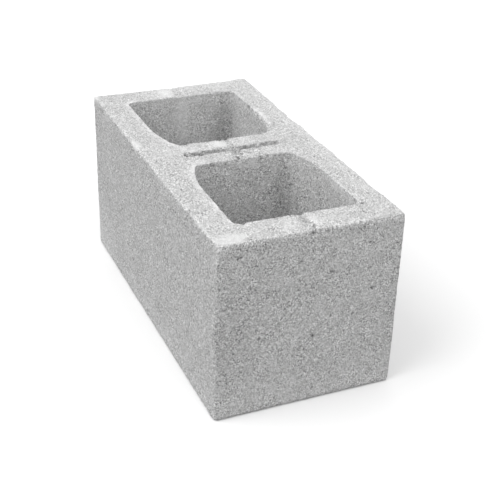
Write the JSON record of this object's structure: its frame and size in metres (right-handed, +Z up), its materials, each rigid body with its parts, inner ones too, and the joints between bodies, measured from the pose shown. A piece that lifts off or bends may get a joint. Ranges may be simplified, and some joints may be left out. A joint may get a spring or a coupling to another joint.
{
  "type": "concrete block",
  "caption": "Hollow concrete masonry block with plain ends, drafted cores flared towards a thick centre web, and a scored top for splitting it in half.",
  "frame": {"origin": "centre of the bottom bed, the face that the block stands on", "axes": "+X along the block's length, +Y across its width, +Z up out of the top bed with the wide mouths of the cores"},
  "size_m": [0.3968, 0.1938, 0.1937],
  "materials": {
    "concrete": "bare light grey cast concrete with an open, grainy face and crumbled arrises"
  },
  "bodies": {
    "root": {"block": "concrete"}
  },
  "joints": []
}
